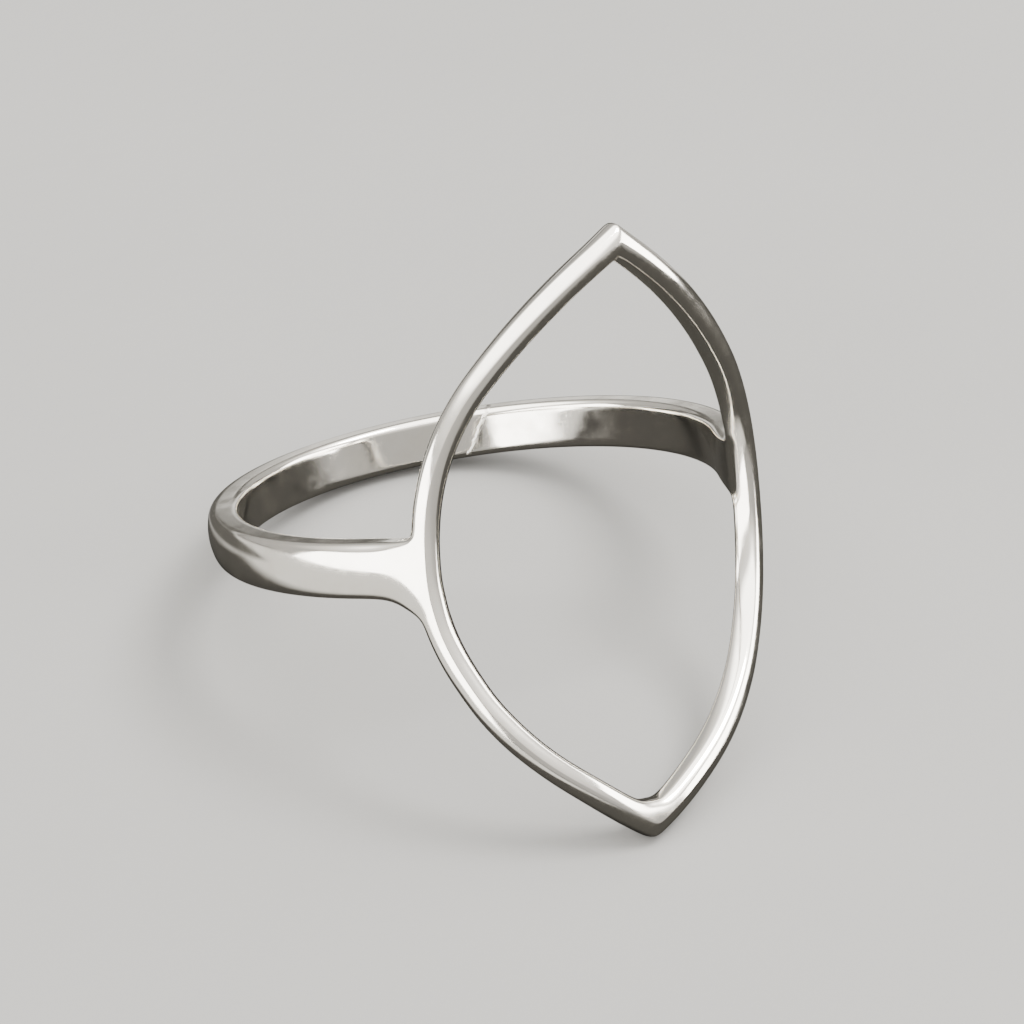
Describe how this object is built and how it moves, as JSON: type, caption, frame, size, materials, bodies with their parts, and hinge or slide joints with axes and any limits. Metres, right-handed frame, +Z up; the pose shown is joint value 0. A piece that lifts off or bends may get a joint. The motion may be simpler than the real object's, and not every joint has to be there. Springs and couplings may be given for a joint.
{
  "type": "open navette ring",
  "caption": "slim finger ring whose round domed band spreads into an open pointed-oval frame, in polished silver, lying at rest on its lower tip and band",
  "frame": {"origin": "on the surface that the ring lies on, under the middle of its bounding box", "axes": "+Z up from the surface, -Y towards the side that the navette faces, +X to the right as seen from that side"},
  "size_m": [0.0196, 0.023, 0.0178],
  "materials": {
    "silver": "polished"
  },
  "bodies": {
    "root": {"ring": "silver"}
  },
  "joints": []
}
